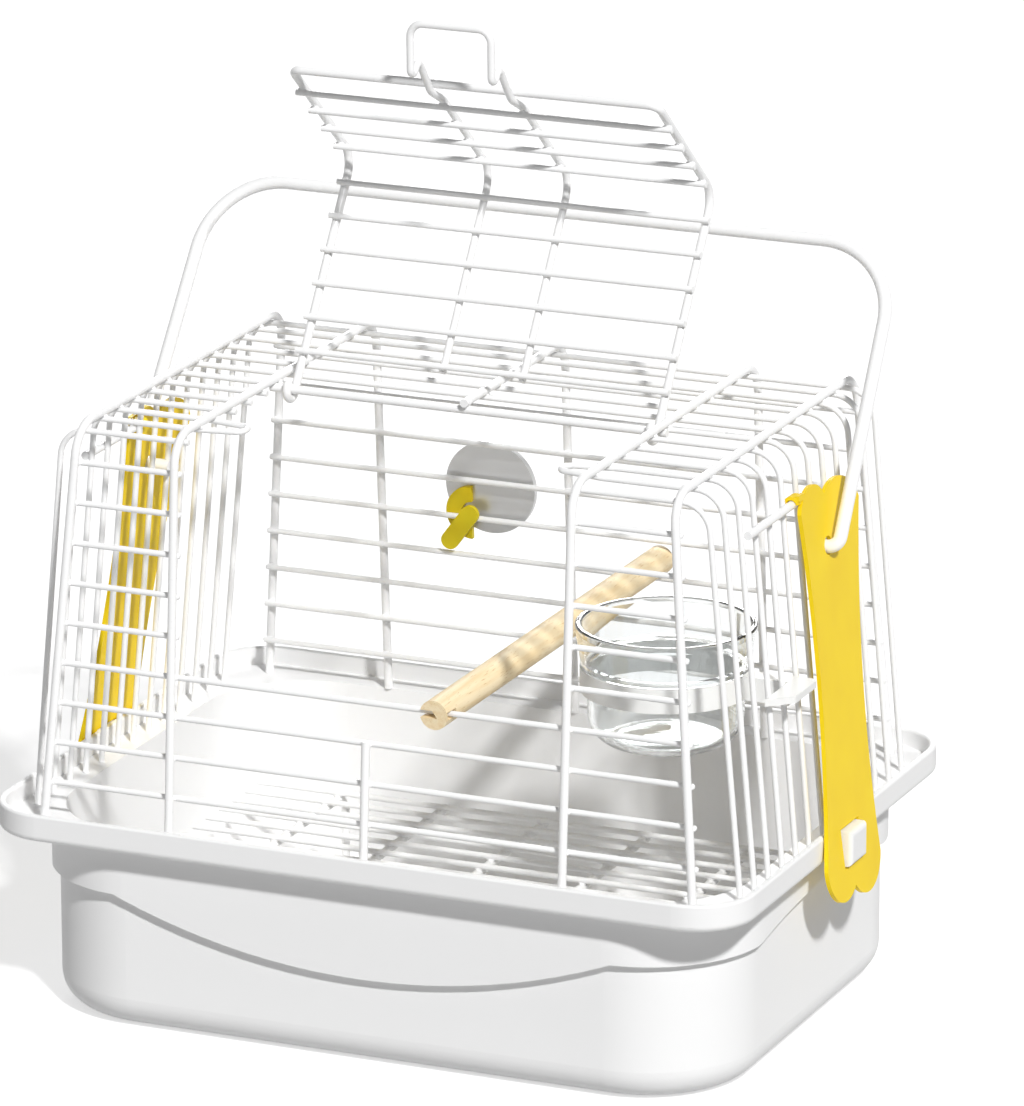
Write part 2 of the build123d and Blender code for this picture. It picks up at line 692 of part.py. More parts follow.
def make_clip(side):
    """Side clip: a flat plate with a tab over the rail and holes for handle and peg."""
    upright = Plane(origin=(0, 0, 0), x_dir=(0, 1, 0), z_dir=(1, 0, 0))
    outline = Pos(CLIP_MIDDLE, pivot_drop) * clip_outline()
    outline = Pos(HANDLE_PIVOT_ALONG, -pivot_drop) * (Rot(0, 0, -CLIP_LEAN_ANGLE) * outline)
    hole = Pos(HANDLE_PIVOT_ALONG, -pivot_drop) * Circle(handle_radius + PIVOT_HOLE_CLEAR)
    plate = extrude(upright * (outline - hole), amount=CLIP_PLATE)
    clip = Pos(clip_seat, 0, 0) * plate + clip_tab()
    clip = Pos(rail_half, 0, rail_height) * (Rot(0, -clip_tilt, 0) * clip)
    slot = Box(
        RIM_LENGTH, PEG_WIDTH + 2 * PEG_HOLE_CLEAR, PEG_HEIGHT + 2 * PEG_HOLE_CLEAR,
        align=(Align.MIN, Align.CENTER, Align.CENTER),
    )
    clip -= Pos(inner_length / 2, PEG_ALONG, peg_height) * slot
    return clip if side > 0 else mirror(clip, Plane.YZ)


# ---------------------------------------------------------------- handle
def make_handle():
    """Carrying handle, a bail whose inturned ends pass through the clips."""
    lean = radians(HANDLE_LEAN)
    clip_travel = RAIL_RISE * sin(radians(CLIP_OPEN_ANGLE))
    foot_half = clip_face_at_pivot + clip_travel + RUN_CLEAR + handle_radius

    def place(x, reach):
        return (x, HANDLE_PIVOT_ALONG + reach * sin(lean), HANDLE_PIVOT_HEIGHT + reach * cos(lean))

    half = [
        place(foot_half - HANDLE_END_REACH, 0),
        place(foot_half, 0),
        place(foot_half - HANDLE_TOP_INSET, HANDLE_REACH),
    ]
    points = half + [(-x, y, z) for x, y, z in half[::-1]]
    bends = [HANDLE_END_BEND, HANDLE_BEND, HANDLE_BEND, HANDLE_END_BEND]
    return bent_wire(points, bends, HANDLE_WIRE)


# ---------------------------------------------------------------- bowl and holder
ring_inner = BOWL_LOWER_RADIUS + FIT_CLEAR
ring_outer = ring_inner + RING_WALL
ring_seat = RING_TOP + FIT_CLEAR


def make_bowl():
    """Clear round bowl whose step sits on the holder's ring."""
    top = BOWL_BASE + BOWL_HEIGHT
    with BuildSketch(Plane.XZ) as profile:
        with BuildLine():
            Polyline(
                (0, BOWL_BASE),
                (BOWL_BASE_RADIUS, BOWL_BASE),
                (BOWL_LOWER_RADIUS, ring_seat),
                (BOWL_STEP_RADIUS, ring_seat),
                (BOWL_RIM_RADIUS, top - BOWL_LIP),
                (BOWL_RIM_RADIUS, top),
                (BOWL_RIM_RADIUS - BOWL_LIP, top),
                (BOWL_STEP_RADIUS - BOWL_WALL, ring_seat + BOWL_WALL),
                (BOWL_LOWER_RADIUS - BOWL_WALL, ring_seat + BOWL_WALL),
                (BOWL_BASE_RADIUS - BOWL_WALL, BOWL_BASE + BOWL_WALL),
                (0, BOWL_BASE + BOWL_WALL),
                (0, BOWL_BASE),
            )
        make_face()
        corners = profile.vertices()
        foot = corners.filter_by(lambda v: abs(v.X - BOWL_BASE_RADIUS) < BOWL_WALL / 2)
        fillet(foot.filter_by(lambda v: abs(v.Y - BOWL_BASE) < BOWL_WALL / 2), BOWL_FOOT_ROUND)
        corners = profile.vertices()
        well = corners.filter_by(lambda v: abs(v.X - BOWL_BASE_RADIUS + BOWL_WALL) < BOWL_WALL / 2)
        well_floor = BOWL_BASE + BOWL_WALL
        well = well.filter_by(lambda v: abs(v.Y - well_floor) < BOWL_WALL / 2)
        fillet(well, BOWL_FOOT_ROUND - BOWL_WALL)
        corners = profile.vertices()
        lip = corners.filter_by(lambda v: v.Y > top - BOWL_LIP / 2)
        fillet(lip, BOWL_LIP_ROUND)
    bowl = revolve(profile.sketch, Axis.Z)
    return Pos(BOWL_X, BOWL_Y, 0) * bowl


arm_along = (row_places[ARM_ROW_INDEX] + row_places[ARM_ROW_INDEX + 1]) / 2
shelf_seat = side_half(RING_TOP - SHELF_WALL) + thin_radius + WELD_GAP


def make_bowl_holder():
    """Ring round the bowl, with an arm that passes between two side wires to the outer shelf."""
    ring_bottom = RING_TOP - RING_HEIGHT
    band = Circle(ring_outer) - Circle(ring_inner)
    holder = extrude(Pos(BOWL_X, BOWL_Y, ring_bottom) * band, amount=RING_HEIGHT)
    arm = Box(
        shelf_seat - BOWL_X - WELD_GAP, ARM_WIDTH, RING_HEIGHT,
        align=(Align.MIN, Align.CENTER, Align.MIN),
    )
    arm = Pos(BOWL_X, arm_along, ring_bottom) * arm
    bore = extrude(Pos(BOWL_X, BOWL_Y, ring_bottom) * Circle(ring_inner), amount=RING_HEIGHT)
    return holder + (arm - bore)


def make_bowl_shelf():
    """Outer shelf of the bowl holder, which bears on the outside of the side wires."""
    front = arm_along - SHELF_FRONT_REACH
    back = arm_along + SHELF_BACK_REACH
    outer = shelf_seat + SHELF_OUT
    corners = [
        (shelf_seat, front),
        (outer, front + SHELF_FRONT_CUT),
        (outer, back),
        (shelf_seat, back),
    ]
    face = make_face(Polyline(*corners, close=True))
    face = fillet(face.vertices().sort_by(Axis.X)[-2:], SHELF_CORNER)
    return extrude(Pos(0, 0, RING_TOP - SHELF_WALL) * face, amount=SHELF_WALL)


# ---------------------------------------------------------------- perch
def make_perch():
    """Wooden dowel: a slot in its front end grips one level wire, its back end rests on another."""
    height = level_height(PERCH_LEVEL)
    wire_along = wall_wire_half(height)
    back_height = height + thin_radius + PERCH_DIAMETER / 2 + 2 * WELD_GAP
    front = Vector(PERCH_FRONT_X, -wire_along, height)
    back = Vector(PERCH_BACK_X, wire_along, back_height)
    way = (back - front).normalized()
    start = front - way * PERCH_FRONT_REACH
    end = back + way * PERCH_BACK_REACH
    dowel = straight_wire(tuple(start), tuple(end), PERCH_DIAMETER)
    slot = Box(
        2 * PERCH_DIAMETER, PERCH_SLOT_DEPTH, THIN_WIRE + 2 * FIT_CLEAR,
        align=(Align.CENTER, Align.MIN, Align.CENTER),
    )
    slot_start = -wire_along - PERCH_FRONT_REACH - WELD_GAP
    return dowel - Pos(PERCH_FRONT_X, slot_start, height) * slot


# ---------------------------------------------------------------- mirror
wall_angle = degrees(atan2(WALL_LEAN, 1))
mirror_ring_out = thin_radius + MIRROR_CLIP_WALL / 2 + WELD_GAP


def against_back_wall(shape, x, height, out):
    """Stand a shape on the back wall's wires: its own XZ plane becomes the wires' plane."""
    seat = wall_wire_half(height) + out
    return Pos(x, seat, height) * (Rot(wall_angle, 0, 0) * shape)


def make_mirror():
    """Round mirror behind the back wires and the ring of its clip."""
    disc = Cylinder(MIRROR_DIAMETER / 2, MIRROR_THICK, rotation=(90, 0, 0))
    out = mirror_ring_out + MIRROR_CLIP_WALL / 2 + MIRROR_THICK / 2 + WELD_GAP
    return against_back_wall(disc, MIRROR_X, level_height(MIRROR_LEVEL) + MIRROR_RISE, out)


def make_mirror_clip():
    """Clip of the mirror: a half ring behind the wires, a tongue before them and a web between."""
    wall = MIRROR_CLIP_WALL
    x = MIRROR_X - MIRROR_CLIP_SHIFT
    height = level_height(MIRROR_LEVEL) + MIRROR_CLIP_RISE
    face = Circle(MIRROR_RING_RADIUS) - Circle(MIRROR_RING_BORE)
    face &= Rectangle(2 * MIRROR_RING_RADIUS, 2 * MIRROR_RING_RADIUS, align=(Align.MAX, Align.CENTER))
    ring = extrude(Plane.XZ * face, amount=wall / 2, both=True)
    ring = Pos(0, mirror_ring_out, 0) * ring
    tongue = Rot(0, 0, -MIRROR_TONGUE_TURN) * SlotOverall(
        MIRROR_TONGUE_LENGTH, MIRROR_TONGUE_WIDTH, rotation=90
    )
    tongue = extrude(Plane.XZ * tongue, amount=wall / 2, both=True)
    tongue = Pos(-MIRROR_TONGUE_SHIFT, -mirror_ring_out, -MIRROR_TONGUE_DROP) * tongue
    web = Box(MIRROR_WEB, 2 * mirror_ring_out, MIRROR_WEB)
    web = Pos(-MIRROR_TONGUE_SHIFT - MIRROR_RING_BORE / 2, 0, -MIRROR_TONGUE_DROP - MIRROR_WEB / 2) * web
    return against_back_wall(ring + tongue + web, x, height, 0)


# ---------------------------------------------------------------- write every sub-part
os.makedirs("parts", exist_ok=True)

write_node("tub", [make_tub()])
write_node("grate_wires", make_grate_wires())
write_node("grate_bars", make_grate_bars())
write_node("left_edge_hoop", [make_hoop(lambda height: -edge_hoop_half(height))])
write_node("right_edge_hoop", [make_hoop(edge_hoop_half)])
write_node("left_door_hoop", [make_hoop(lambda height: -DOOR_HOOP_HALF)])
write_node("right_door_hoop", [make_hoop(lambda height: DOOR_HOOP_HALF)])
write_node("rear_centre_hoop", [make_rear_hoop()])
write_node("front_centre_post", [make_centre_post()])
write_node("hinge_wire", [make_hinge_wire()])
write_node("front_lower_wires", make_front_lower())
write_node("back_wires", make_back_wires())
write_node("rear_roof_wires", make_rear_roof_wires())
write_node("door_frame", opened([make_door_frame()]))
write_node("door_cross_wires", opened(make_door_cross_wires()))
write_node("door_latch", opened([make_door_latch()]))
write_node("handle", [make_handle()])
for side_name, side in (("left", -1), ("right", 1)):
    write_node(f"{side_name}_front_level_wires", make_front_side(side))
    write_node(f"{side_name}_side_wires", make_front_roof_wires(side))
    write_node(f"{side_name}_door_stop", [make_stop_hairpin(side)])
    write_node(f"{side_name}_clip_rail", [make_clip_rail(side)])
    write_node(f"{side_name}_clip", [make_clip(side)])
write_node("bowl", [make_bowl()])
write_node("bowl_holder", [make_bowl_holder()])
write_node("bowl_holder_plate", [make_bowl_shelf()])
write_node("perch", [make_perch()])
write_node("mirror", [make_mirror()])
write_node("mirror_clip", [make_mirror_clip()])
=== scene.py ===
from math import cos, radians, sin

import bmesh
import bpy
from mathutils import Matrix, Vector


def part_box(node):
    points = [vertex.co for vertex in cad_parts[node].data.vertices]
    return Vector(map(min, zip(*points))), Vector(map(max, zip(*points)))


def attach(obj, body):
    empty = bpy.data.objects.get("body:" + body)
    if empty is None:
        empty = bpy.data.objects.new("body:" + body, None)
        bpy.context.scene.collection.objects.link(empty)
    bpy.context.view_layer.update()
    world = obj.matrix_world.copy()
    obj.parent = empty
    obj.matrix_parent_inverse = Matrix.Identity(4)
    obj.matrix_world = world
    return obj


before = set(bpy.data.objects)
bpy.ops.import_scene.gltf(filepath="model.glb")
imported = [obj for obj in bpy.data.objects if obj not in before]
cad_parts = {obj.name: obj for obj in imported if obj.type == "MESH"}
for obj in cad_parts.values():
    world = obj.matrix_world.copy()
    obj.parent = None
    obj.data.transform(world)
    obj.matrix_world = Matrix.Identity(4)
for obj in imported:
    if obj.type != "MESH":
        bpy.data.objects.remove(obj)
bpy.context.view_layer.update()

MM = 0.001

# ---------------------------------------------------------------- colours, sRGB
POWDER_WHITE = "#F8F8F8"
TUB_WHITE = "#F4F4F4"
HOLDER_WHITE = "#F2F2F0"
CLIP_YELLOW = "#FBDA14"
CLIP_YELLOW_WORN = "#F5D112"
MIRROR_CLIP_YELLOW = "#E0CC1E"
MIRROR_GREY = "#D2D2D2"
DOWEL_PALE = "#FBE8C2"
DOWEL_GRAIN = "#F0D5A4"
DOWEL_PORE = "#DDBB86"
BOWL_TINT = "#F4F6F6"
FLOOR_GREY = "#C4C4C4"

# ---------------------------------------------------------------- patterns, millimetres
COAT_PEEL = 0.9           # orange peel, drawn as coarse as it needs to show
COAT_PEEL_DEPTH = 0.03
TUB_WAVE = 38.0           # slow waves of a cooled wall
TUB_WAVE_DEPTH = 0.25
TUB_SATIN = 0.8           # the mould's texture, drawn as coarse as it needs to show
TUB_SATIN_DEPTH = 0.02
ABS_CLOUD = 24.0          # faint uneven tone from handling
ABS_TEXTURE = 0.7         # the mould's texture, drawn as coarse as it needs to show
ABS_TEXTURE_DEPTH = 0.025
DOWEL_STREAK = 2.2        # across the grain
DOWEL_STREAK_DEPTH = 0.12
DOWEL_STREAK_STRETCH = (1.0, 0.045, 1.0)
DOWEL_PORE_WIDTH = 0.45
DOWEL_PORE_STRETCH = (1.0, 0.08, 1.0)
BOWL_FLOW = 14.0
BOWL_FLOW_DEPTH = 0.12
MIRROR_WAVE = 9.0
MIRROR_WAVE_DEPTH = 0.08

# ---------------------------------------------------------------- camera, metres and degrees
CAMERA_SPOT = (1.19540, -2.71375, 1.06433)
CAMERA_TURN = 23.4842     # to the left of straight back
CAMERA_TILT = 16.8590     # down
CAMERA_ROLL = -0.1398
CAMERA_LENS = 297.75      # millimetres
SENSOR_WIDTH = 36.0       # millimetres
CAMERA_REACH = 20.0

# ---------------------------------------------------------------- wires, millimetres
HEAVY_RADIUS = 1.6
THIN_RADIUS = 1.1
CROSSING = HEAVY_RADIUS + THIN_RADIUS    # between the middles of two welded wires

FIRST_LEVEL = 90.0
LEVEL_PITCH = 15.0
LEVEL_COUNT = 9
FULL_FRONT_LEVELS = 4                    # those above stop at the doorway
POST_LEVELS = 3                          # those that the front centre post crosses
LEVELS = [FIRST_LEVEL + LEVEL_PITCH * level for level in range(LEVEL_COUNT)]
LEVEL_END_REACH = 1.3                    # of a level wire's end past its last hoop's middle

WALL_HALF = 96.2                         # at the first level, and shrinking upwards
WALL_SHRINK = 0.066                      # for each millimetre of height
EDGE_HALF = 126.6
EDGE_SHRINK = 0.0783
DOOR_HOOP_HALF = 77.4
HOOP_ROOF = 224.2

FIRST_ROOF_ROW = -79.98
ROOF_PITCH = 13.33
ROOF_ROW_COUNT = 13
FRONT_ROOF_ROWS = 7                      # those before the hinge wire and on it
ROOF_ROWS = [FIRST_ROOF_ROW + ROOF_PITCH * row for row in range(ROOF_ROW_COUNT)]

GRATE_WIRE_COUNT = 12
GRATE_BAR_COUNT = 5

# ---------------------------------------------------------------- opened door, millimetres
HINGE = (-2.9, 220.98)                   # the hinge wire's place along the carrier, and its height
DOOR_LINE = 3.55                         # of the door's frame over the hinge wire
DOOR_ROOF_RUN = 93.6                     # from the hinge to the bend
DOOR_BEND = 84.0                         # degrees between the roof and front sections
DOOR_SWING = 124.4                       # degrees from shut to open
DOOR_SIDES = (-70.7, 73.3)
DOOR_LATCH_LEGS = (-14.5, 17.1)
DOOR_ROOF_CROSSES = [15.4 + 13.34 * wire for wire in range(6)]
DOOR_FRONT_CROSSES = [12.7 + 14.24 * wire for wire in range(4)]

# ---------------------------------------------------------------- welds, millimetres
HOOP_BEAD = (2.0, 1.25, 0.9)             # each bead's reach along, across and out from the wires
GRATE_BEAD = (1.8, 1.2, 0.8)
DOOR_BEAD = (1.9, 1.2, 0.9)
DOME_REACH = 0.8
DOME_SINK = 0.25                         # of a dome's middle into its wire's end
BEAD_SEGMENTS = 12
BEAD_RINGS = 8

# ---------------------------------------------------------------- studio
FLOOR_REACH = 6.0         # metres from the middle to each side
FLOOR_LIFT = 0.62         # brings the lit floor up to white for the eye
KEY_FROM = (0.52, -0.52, 0.68)
KEY_STRENGTH = 3.05
KEY_SOFTNESS = 4.0        # degrees across
FILL_FROM = (-0.30, 0.90, 0.30)
FILL_STRENGTH = 0.9
FILL_SOFTNESS = 20.0
SURROUND_LIGHT = 0.2


# ---------------------------------------------------------------- node materials
def linear(hex_colour):
    """Turn an sRGB hex colour into the linear colour that a shader takes."""
    channels = [int(hex_colour[i:i + 2], 16) / 255 for i in (1, 3, 5)]
    return [c / 12.92 if c <= 0.04045 else ((c + 0.055) / 1.055) ** 2.4 for c in channels] + [1.0]


def add_node(tree, kind, settings=None, **inputs):
    """Add a node with its settings and inputs.

    An input is named, or numbered as _0, and is a value, a socket, or a node to take first.
    """
    node = tree.nodes.new(kind)
    for name, value in (settings or {}).items():
        setattr(node, name, value)
    for name, value in inputs.items():
        number = name[1:]
        socket = node.inputs[int(number) if number.isdigit() else name.replace("_", " ")]
        if isinstance(value, bpy.types.Node):
            value = value.outputs[0]
        if isinstance(value, bpy.types.NodeSocket):
            tree.links.new(value, socket)
        else:
            socket.default_value = value
    return node


def new_material(name):
    """An empty node material, its tree, and the object's own coordinates in it."""
    material = bpy.data.materials.new(name)
    material.use_nodes = True
    tree = material.node_tree
    tree.nodes.clear()
    return material, tree, add_node(tree, "ShaderNodeTexCoord").outputs["Object"]


def lumps(size):
    """Noise scale that gives lumps about this many millimetres across."""
    return 1 / (size * MM)


def set_stops(ramp, *stops):
    """Give a colour ramp its (place, hex colour) stops."""
    for element, (place, colour) in zip(ramp.color_ramp.elements, stops):
        element.position = place
        element.color = linear(colour)


def powder_coat():
    """White polyester powder coat on steel wire: an even soft gloss with a faint orange peel."""
    material, tree, place = new_material("white_powder_coat")
    peel = add_node(tree, "ShaderNodeTexNoise", Vector=place, Scale=lumps(COAT_PEEL), Detail=3.0)
    gloss = add_node(tree, "ShaderNodeMapRange", Value=peel, To_Min=0.24, To_Max=0.34)
    normal = add_node(
        tree, "ShaderNodeBump", Height=peel, Distance=COAT_PEEL_DEPTH * MM, Strength=0.5
    )
    coat = add_node(
        tree, "ShaderNodeBsdfPrincipled", Base_Color=linear(POWDER_WHITE), Roughness=gloss,
        IOR=1.5, Normal=normal,
    )
    add_node(tree, "ShaderNodeOutputMaterial", Surface=coat)
    return material


def moulded_polypropylene():
    """White polypropylene from a polished mould: milky, with slow waves and a fine satin texture."""
    material, tree, place = new_material("white_moulded_polypropylene")
    waves = add_node(tree, "ShaderNodeTexNoise", Vector=place, Scale=lumps(TUB_WAVE), Detail=1.0)
    satin = add_node(tree, "ShaderNodeTexNoise", Vector=place, Scale=lumps(TUB_SATIN), Detail=2.0)
    gloss = add_node(tree, "ShaderNodeMapRange", Value=waves, To_Min=0.5, To_Max=0.6)
    wavy = add_node(
        tree, "ShaderNodeBump", Height=waves, Distance=TUB_WAVE_DEPTH * MM, Strength=0.35
    )
    textured = add_node(
        tree, "ShaderNodeBump", Height=satin, Distance=TUB_SATIN_DEPTH * MM, Strength=0.35,
        Normal=wavy,
    )
    plastic = add_node(
        tree, "ShaderNodeBsdfPrincipled", Base_Color=linear(TUB_WHITE), Roughness=gloss,
        IOR=1.49, Specular_IOR_Level=0.3, Normal=textured,
    )
    add_node(tree, "ShaderNodeOutputMaterial", Surface=plastic)
    return material


def moulded_abs(name, colour, worn):
    """Solid-coloured ABS from a fine-textured mould: a flat even colour with a soft sheen."""
    material, tree, place = new_material(name)
    cloud = add_node(tree, "ShaderNodeTexNoise", Vector=place, Scale=lumps(ABS_CLOUD), Detail=2.0)
    grit = add_node(tree, "ShaderNodeTexNoise", Vector=place, Scale=lumps(ABS_TEXTURE), Detail=2.0)
    tone = add_node(tree, "ShaderNodeValToRGB", Fac=cloud)
    set_stops(tone, (0.35, colour), (0.8, worn))
    gloss = add_node(tree, "ShaderNodeMapRange", Value=grit, To_Min=0.42, To_Max=0.52)
    normal = add_node(
        tree, "ShaderNodeBump", Height=grit, Distance=ABS_TEXTURE_DEPTH * MM, Strength=0.4
    )
    plastic = add_node(
        tree, "ShaderNodeBsdfPrincipled", Base_Color=tone, Roughness=gloss, IOR=1.53,
        Specular_IOR_Level=0.25, Normal=normal,
    )
    add_node(tree, "ShaderNodeOutputMaterial", Surface=plastic)
    return material


def turned_dowel():
    """Bare pale hardwood dowel: long faint grain along its length, with short darker pores."""
    material, tree, place = new_material("bare_hardwood_dowel")
    grain_place = add_node(tree, "ShaderNodeMapping", Vector=place, Scale=DOWEL_STREAK_STRETCH)
    pore_place = add_node(tree, "ShaderNodeMapping", Vector=place, Scale=DOWEL_PORE_STRETCH)
    streaks = add_node(
        tree, "ShaderNodeTexNoise", Vector=grain_place, Scale=lumps(DOWEL_STREAK), Detail=4.0
    )
    pores = add_node(
        tree, "ShaderNodeTexNoise", Vector=pore_place, Scale=lumps(DOWEL_PORE_WIDTH), Detail=2.0
    )
    wood = add_node(tree, "ShaderNodeValToRGB", Fac=streaks)
    set_stops(wood, (0.3, DOWEL_GRAIN), (0.58, DOWEL_PALE))
    marks = add_node(tree, "ShaderNodeMapRange", Value=pores, From_Min=0.62, From_Max=0.74)
    colour = add_node(
        tree, "ShaderNodeMix", {"data_type": "RGBA"}, _0=marks, _6=wood, _7=linear(DOWEL_PORE)
    )
    normal = add_node(
        tree, "ShaderNodeBump", Height=streaks, Distance=DOWEL_STREAK_DEPTH * MM, Strength=0.5
    )
    bare_wood = add_node(
        tree, "ShaderNodeBsdfPrincipled", Base_Color=colour.outputs[2], Roughness=0.55, IOR=1.5,
        Normal=normal,
    )
    add_node(tree, "ShaderNodeOutputMaterial", Surface=bare_wood)
    return material


def clear_polystyrene():
    """Clear moulded polystyrene: water-clear, bright at its edges, with faint flow waves."""
    material, tree, place = new_material("clear_polystyrene")
    flow = add_node(tree, "ShaderNodeTexNoise", Vector=place, Scale=lumps(BOWL_FLOW), Detail=1.0)
    normal = add_node(
        tree, "ShaderNodeBump", Height=flow, Distance=BOWL_FLOW_DEPTH * MM, Strength=0.5
    )
    plastic = add_node(
        tree, "ShaderNodeBsdfPrincipled", Base_Color=linear(BOWL_TINT), Roughness=0.03, IOR=1.59,
        Transmission_Weight=1.0, Normal=normal,
    )
    add_node(tree, "ShaderNodeOutputMaterial", Surface=plastic)
    return material


def small_mirror():
    """Back-silvered plastic mirror: an even grey sheen with a slightly wavy surface."""
    material, tree, place = new_material("silvered_plastic_mirror")
    wave = add_node(tree, "ShaderNodeTexNoise", Vector=place, Scale=lumps(MIRROR_WAVE), Detail=1.0)
    normal = add_node(
        tree, "ShaderNodeBump", Height=wave, Distance=MIRROR_WAVE_DEPTH * MM, Strength=0.4
    )
    silver = add_node(
        tree, "ShaderNodeBsdfPrincipled", Base_Color=linear(MIRROR_GREY), Metallic=0.6,
        Roughness=0.32, Normal=normal,
    )
    add_node(tree, "ShaderNodeOutputMaterial", Surface=silver)
    return material


def give_material(name, material):
    """Give a CAD node one material all over."""
    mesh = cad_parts[name].data
    mesh.materials.clear()
    mesh.materials.append(material)


# ---------------------------------------------------------------- welds and wire ends
def wall_half(height):
    """Distance of a hoop's middle from the carrier's middle at this height."""
    return WALL_HALF - WALL_SHRINK * (height - FIRST_LEVEL)


def edge_hoop_half(height):
    """Sideways place of an outer hoop at this height."""
    return EDGE_HALF - EDGE_SHRINK * (height - FIRST_LEVEL)


def add_bead(shape, spot, along, across, size):
    """Smooth bead of weld metal and coat; its size runs along, across and out from the wires."""
    along, across = Vector(along).normalized(), Vector(across).normalized()
    out = along.cross(across)
    turn = Matrix((along * size[0], across * size[1], out * size[2])).transposed().to_4x4()
    bmesh.ops.create_uvsphere(
        shape, u_segments=BEAD_SEGMENTS, v_segments=BEAD_RINGS, radius=1.0,
        matrix=Matrix.Scale(MM, 4) @ Matrix.Translation(Vector(spot)) @ turn,
    )


def add_end_dome(shape, spot, way, radius):
    """Rounded end of coat over a cut wire."""
    way = Vector(way).normalized()
    side = way.orthogonal().normalized()
    middle = Vector(spot) - way * DOME_SINK
    add_bead(shape, middle, side, way.cross(side), (radius, radius, DOME_REACH))


def finish_beads(name, shape, body):
    """Make one piece of a set of beads, coated as the wires are."""
    mesh = bpy.data.meshes.new(name)
    shape.to_mesh(mesh)
    shape.free()
    mesh.polygons.foreach_set("use_smooth", [True] * len(mesh.polygons))
    piece = bpy.data.objects.new(name, mesh)
    bpy.context.scene.collection.objects.link(piece)
    mesh.materials.append(wire_finish)
    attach(piece, body)


def make_wall_beads():
    """Beads where the level wires lie on the hoops, and domes on the level wires' ends."""
    beads, domes = bmesh.new(), bmesh.new()
    for index, height in enumerate(LEVELS):
        edge = edge_hoop_half(height)
        for wall in (-1, 1):
            front = wall < 0
            hoops = [-edge, -DOOR_HOOP_HALF, DOOR_HOOP_HALF, edge]
            if not front or index < POST_LEVELS:
                hoops.append(0.0)
            for place in hoops:
                spot = (place, wall * (wall_half(height) - HEAVY_RADIUS), height)
                add_bead(beads, spot, (1, 0, 0), (0, 0, 1), HOOP_BEAD)
            along = wall * (wall_half(height) - CROSSING)
            for side in (-1, 1):
                spot = (side * (edge + LEVEL_END_REACH), along, height)
                add_end_dome(domes, spot, (side, 0, 0), THIN_RADIUS)
                if front and index >= FULL_FRONT_LEVELS:
                    spot = (side * (DOOR_HOOP_HALF - LEVEL_END_REACH), along, height)
                    add_end_dome(domes, spot, (-side, 0, 0), THIN_RADIUS)
    finish_beads("wall_weld_beads", beads, "cage")
    finish_beads("level_wire_end_domes", domes, "cage")


def make_roof_beads():
    """Beads where the roof wires pass under the hoops."""
    beads = bmesh.new()
    height = HOOP_ROOF - HEAVY_RADIUS
    edge = edge_hoop_half(HOOP_ROOF)
    for row, along in enumerate(ROOF_ROWS[1:-1], 1):
        hoops = [-edge, -DOOR_HOOP_HALF, DOOR_HOOP_HALF, edge]
        if row >= FRONT_ROOF_ROWS:
            hoops.append(0.0)
        for place in hoops:
            add_bead(beads, (place, along, height), (1, 0, 0), (0, 1, 0), HOOP_BEAD)
    finish_beads("roof_weld_beads", beads, "cage")


def make_grate_beads():
    """Beads where the grate's wires lie on its bars."""
    wires_low, wires_high = (Vector(corner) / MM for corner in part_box("grate_wires"))
    bars_low, bars_high = (Vector(corner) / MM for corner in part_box("grate_bars"))
    wire_pitch = (wires_high.y - wires_low.y - 2 * THIN_RADIUS) / (GRATE_WIRE_COUNT - 1)
    bar_pitch = (bars_high.x - bars_low.x - 2 * HEAVY_RADIUS) / (GRATE_BAR_COUNT - 1)
    beads = bmesh.new()
    for wire in range(GRATE_WIRE_COUNT):
        along = wires_low.y + THIN_RADIUS + wire * wire_pitch
        for bar in range(GRATE_BAR_COUNT):
            place = bars_low.x + HEAVY_RADIUS + bar * bar_pitch
            add_bead(beads, (place, along, wires_low.z), (1, 0, 0), (0, 1, 0), GRATE_BEAD)
    finish_beads("grate_weld_beads", beads, "cage")


def door_spot(sideways, roof_run, front_run, out):
    """Place on the opened door, by its run from the hinge and then down its front section."""
    bend = radians(DOOR_BEND) if front_run else 0.0
    along = -roof_run - front_run * cos(bend) - out * sin(bend)
    height = DOOR_LINE - front_run * sin(bend) + out * cos(bend)
    swing = -radians(DOOR_SWING)
    return Vector((
        sideways,
        HINGE[0] + along * cos(swing) - height * sin(swing),
        HINGE[1] + along * sin(swing) + height * cos(swing),
    ))


def make_door_beads():
    """Beads where the door's cross wires lie on its frame and on the latch's legs."""
    beads = bmesh.new()
    sideways = Vector((1, 0, 0))
    runs = [(run, 0.0) for run in DOOR_ROOF_CROSSES]
    runs += [(DOOR_ROOF_RUN, run) for run in DOOR_FRONT_CROSSES]
    for roof_run, front_run in runs:
        for place in DOOR_SIDES + DOOR_LATCH_LEGS:
            spot = door_spot(place, roof_run, front_run, -HEAVY_RADIUS)
            out = door_spot(place, roof_run, front_run, 0) - spot
            add_bead(beads, spot, sideways, out.cross(sideways), DOOR_BEAD)
    finish_beads("door_weld_beads", beads, "door")


